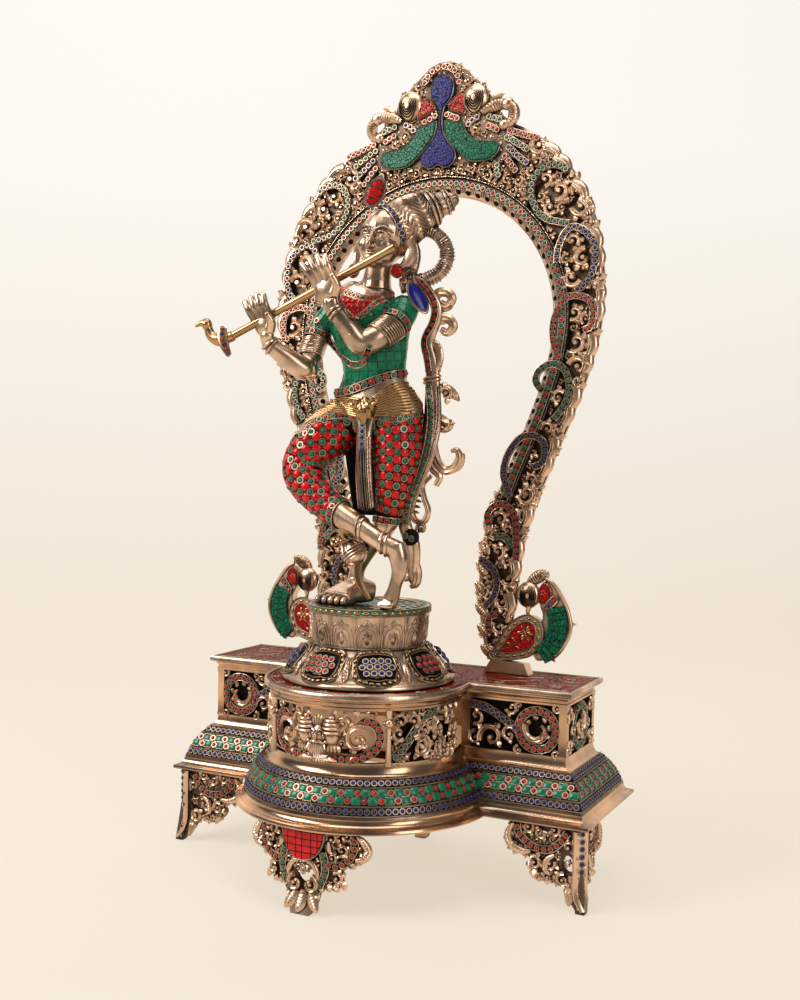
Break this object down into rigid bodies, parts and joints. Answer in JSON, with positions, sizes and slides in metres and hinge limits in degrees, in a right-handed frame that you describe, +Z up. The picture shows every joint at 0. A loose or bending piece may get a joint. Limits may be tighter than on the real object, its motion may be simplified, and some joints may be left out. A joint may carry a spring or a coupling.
{
  "type": "krishna figure",
  "caption": "Brass flute player in inlaid dress on a lotus base, under a leaning openwork arch, on a footed stepped pedestal with a round front lobe.",
  "frame": {"origin": "middle of the footprint box, on the floor", "axes": "+Z up, the figure faces -Y, +X is to the right for a viewer in front"},
  "size_m": [0.526, 0.3378, 0.9639],
  "materials": {
    "antique_brass": "cast, hand polished, dark in the recesses",
    "yellow_brass": "polished",
    "coral_stone": "polished stone chips set in dark resin",
    "green_stone": "polished stone chips set in dark resin",
    "lapis_stone": "polished stone chips set in dark resin",
    "pale_wire": "twisted bezel wire, blackened between its turns",
    "dark_resin": "blackened setting ground"
  },
  "bodies": {
    "root": {"pedestal": "antique_brass", "pedestal_top": "coral_stone", "foot_front": "antique_brass", "foot_left": "antique_brass", "foot_right": "antique_brass", "foot_back": "antique_brass", "lotus_base": "antique_brass", "arch": "antique_brass", "krishna_figure": "antique_brass", "flute": "yellow_brass"}
  },
  "joints": []
}
